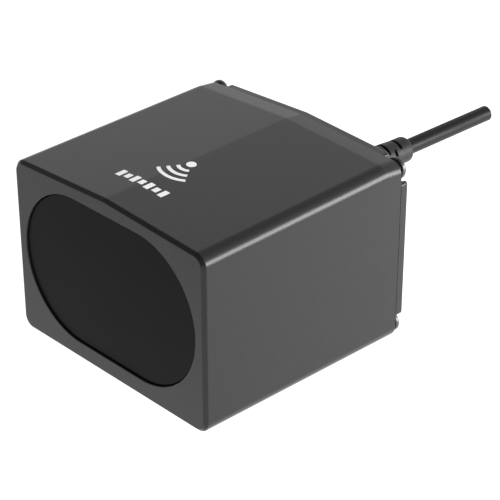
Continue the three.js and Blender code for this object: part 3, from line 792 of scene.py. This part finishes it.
def cut_end():
    """What the knife left: four insulated cores, each with its bundle of strands."""
    end = LEAD_HIGH.y
    cores = []
    for i, colour in enumerate(((0.35, 0.03, 0.03, 1), (0.015, 0.015, 0.015, 1),
                                (0.55, 0.50, 0.10, 1), (0.05, 0.22, 0.09, 1))):
        angle = math.radians(45 + 90 * i)
        x, z = LEAD_X + 0.5 * math.cos(angle), LEAD_Z + 0.5 * math.sin(angle)
        insulation = turned(f"core_insulation_{i + 1}", x, z,
                            [(0.40, end - 0.6), (0.42, end - 0.05), (0.38, end - 0.008)], 24)
        paler = tuple(min(1, part * 1.3) for part in colour[:3]) + (1,)
        skin = plastic(f"core_{i + 1}_skin", colour, paler)
        smooth(insulation)
        cores.append(finish_piece(insulation, "lead_jacket", material=skin))
        strands = []
        for j in range(7):
            turn = math.radians(60 * j)
            off = 0.0 if j == 6 else 0.145
            strands.append(turned(f"strands_{i + 1}", x + off * math.cos(turn), z + off * math.sin(turn),
                                  [(0.07, end - 0.3), (0.07, end - 0.004), (0.04, end)], 10))
        bundle = merged(strands)
        smooth(bundle)
        cores.append(finish_piece(bundle, "brass", material=COPPER))
    return cores


# ---- Roof mark -------------------------------------------------------------------------------------

MARK_RISE = 0.03
SYMBOL_X = 1.0
SYMBOL_Y = -4.7
DOT_RADIUS = 0.8
WAVES = ((1.7, 2.3), (3.2, 3.8), (4.7, 5.3))  # inner and outer radius of each wave
WAVE_START = -128
WAVE_END = -52
BAR_COUNT = 7
BAR_X = -4.8
BAR_Y = -13.6
BAR_PITCH = 1.6
BAR_WIDTH = 0.95
BAR_SHORT = 1.2
BAR_TALL = 1.8


def roof_height(x, y):
    climb = (EAVE_HIGH - EAVE_FRONT) * (y - FRONT) / (BAND_START - FRONT)
    slope = RIDGE_RISE / (HALF - CORNER_RADIUS)
    return EAVE_FRONT + climb + RIDGE_RISE - abs(x) * slope


def printed(name, outlines):
    """Thin white ink: flat outlines in X and Y laid over the roof's two slopes."""
    shape = bmesh.new()
    for outline in outlines:
        shape.faces.new([shape.verts.new((x, y, 0)) for x, y in outline])
    for x in (0, -0.3, 0.3):
        bmesh.ops.bisect_plane(shape, geom=shape.verts[:] + shape.edges[:] + shape.faces[:],
                               plane_co=(x, 0, 0), plane_no=(1, 0, 0))
    for corner in shape.verts:
        x, y, _ = corner.co
        corner.co = Vector((x, y, roof_height(x, y) + MARK_RISE)) * MM
    bmesh.ops.recalc_face_normals(shape, faces=shape.faces)
    for face in shape.faces:
        if face.normal.z < 0:
            face.normal_flip()
    mesh = bpy.data.meshes.new(name)
    shape.to_mesh(mesh)
    shape.free()
    made = link_object(name, mesh)
    thick = made.modifiers.new("ink", "SOLIDIFY")
    thick.thickness = 2 * MARK_RISE * MM
    thick.offset = -1
    settle(made)
    return finish_piece(made, "ivory", material=INK_WITH_PAINTED_LIGHT)


def bar(x, y, width, depth):
    return [(x - width / 2, y - depth / 2), (x + width / 2, y - depth / 2),
            (x + width / 2, y + depth / 2), (x - width / 2, y + depth / 2)]


def swept_band(x, y, inner, outer, start, end, steps=10):
    """A curved band in X and Y, as short quadrilaterals."""
    angles = [math.radians(start + (end - start) * i / steps) for i in range(steps + 1)]
    ring = [[(x + r * math.cos(a), y + r * math.sin(a)) for r in (inner, outer)] for a in angles]
    return [[a[0], a[1], b[1], b[0]] for a, b in zip(ring, ring[1:])]


def roof_mark():
    """A source dot with three spreading waves, over a row of plain bars."""
    symbol = [circle(SYMBOL_X, SYMBOL_Y, DOT_RADIUS, 24)]
    for inner, outer in WAVES:
        symbol += swept_band(SYMBOL_X, SYMBOL_Y, inner, outer, WAVE_START, WAVE_END)
    printed("beam_symbol", symbol)
    bars = [bar(BAR_X + BAR_PITCH * i, BAR_Y, BAR_WIDTH, BAR_SHORT if i % 2 else BAR_TALL)
            for i in range(BAR_COUNT)]
    printed("bar_row", bars)


# ---- Carried-over pieces ---------------------------------------------------------------------------

def repaint_cad():
    """Gives every CAD node that still shows the finish of its slot in the record."""
    for entry in frame["record"]["subparts"]:
        piece = frame["nodes"][entry["node"]]
        if piece.hide_render:
            continue
        if not piece.data.materials:
            piece.data.materials.append(None)
        for i in range(len(piece.material_slots)):
            piece.material_slots[i].material = looks[entry["material_slot"]]


# ---- Studio ----------------------------------------------------------------------------------------

def area_light(name, place, aim, size, power):
    data = bpy.data.lights.new(name, "AREA")
    data.shape = "RECTANGLE"
    data.size, data.size_y = size
    data.energy = power
    light = bpy.data.objects.new(name, data)
    light.location = place
    light.rotation_euler = (Vector(aim) - Vector(place)).to_track_quat("-Z", "Y").to_euler()
    bpy.context.scene.collection.objects.link(light)


def studio_sky():
    """A pale sky behind the object, which darkens towards the zenith and towards the front."""
    world = bpy.data.worlds.new("studio")
    world.use_nodes = True
    tree = world.node_tree
    parts = tree.nodes.new("ShaderNodeSeparateXYZ")
    tree.links.new(tree.nodes.new("ShaderNodeTexCoord").outputs["Generated"], parts.inputs["Vector"])
    height = tree.nodes.new("ShaderNodeValToRGB")
    ramp = height.color_ramp.elements
    for place, value in ((0.42, 0.80), (0.58, 1.04)):
        ramp.new(place).color = grey(value)
    ramp[0].position, ramp[0].color = 0.30, grey(1.0)
    ramp[-1].position, ramp[-1].color = 0.78, grey(0.42)
    tree.links.new(parts.outputs["Z"], height.inputs["Fac"])
    facing = tree.nodes.new("ShaderNodeMapRange")
    for socket, value in (("From Min", -0.55), ("From Max", 0.35), ("To Min", 0.22), ("To Max", 1.0)):
        facing.inputs[socket].default_value = value
    tree.links.new(parts.outputs["Y"], facing.inputs["Value"])
    strength = tree.nodes.new("ShaderNodeMath")
    strength.operation = "MULTIPLY"
    tree.links.new(height.outputs["Color"], strength.inputs[0])
    tree.links.new(facing.outputs["Result"], strength.inputs[1])
    tree.links.new(strength.outputs["Value"], tree.nodes["Background"].inputs["Strength"])
    tree.nodes["Background"].inputs["Color"].default_value = (1, 1, 1, 1)
    bpy.context.scene.world = world


def studio():
    shape = bmesh.new()
    bmesh.ops.create_grid(shape, x_segments=8, y_segments=8, size=3)
    mesh = bpy.data.meshes.new("floor")
    shape.to_mesh(mesh)
    shape.free()
    floor = link_object("floor", mesh)
    floor.location.z = -0.0001
    paper = Look("pale_floor_painted_light", Roughness=0.9, Specular_IOR_Level=0.05)
    paper.colour(paper.noise(6, 3), grey(0.20), grey(0.22))
    # The floor glows: an even emission keeps it near white, and a round patch where the emission climbs
    # from 0.92 to 1.7 is a painted pool of light.
    paper.shader.inputs["Emission Color"].default_value = (1, 1, 1, 1)
    painted_light_patch = paper.node("ShaderNodeTexGradient", gradient_type="SPHERICAL")
    spot = paper.node("ShaderNodeMapping", vector_type="TEXTURE")
    spot.inputs["Location"].default_value = (0.06, 0.07, 0)
    spot.inputs["Scale"].default_value = (0.16, 0.16, 0.16)
    paper.link(paper.place, spot.inputs["Vector"])
    paper.link(spot.outputs["Vector"], painted_light_patch.inputs["Vector"])
    patch_emission_strength = paper.node("ShaderNodeMapRange")
    patch_emission_strength.inputs["To Min"].default_value = 0.92
    patch_emission_strength.inputs["To Max"].default_value = 1.7
    paper.link(painted_light_patch.outputs["Fac"], patch_emission_strength.inputs["Value"])
    paper.link(patch_emission_strength.outputs["Result"], paper.shader.inputs["Emission Strength"])
    floor.data.materials.append(paper.material)
    studio_sky()
    middle = (0, 0, 0.015)
    area_light("key_right", (0.56, 0.44, 0.12), middle, (0.40, 0.26), 5.1)
    bpy.context.scene.view_settings.view_transform = "Standard"


add_camera()
free_lead = lead()
relief = sleeve()
end_pieces = cut_end()
housing()
window()
cover()
cover_screws()
roof_mark()
repaint_cad()
studio()
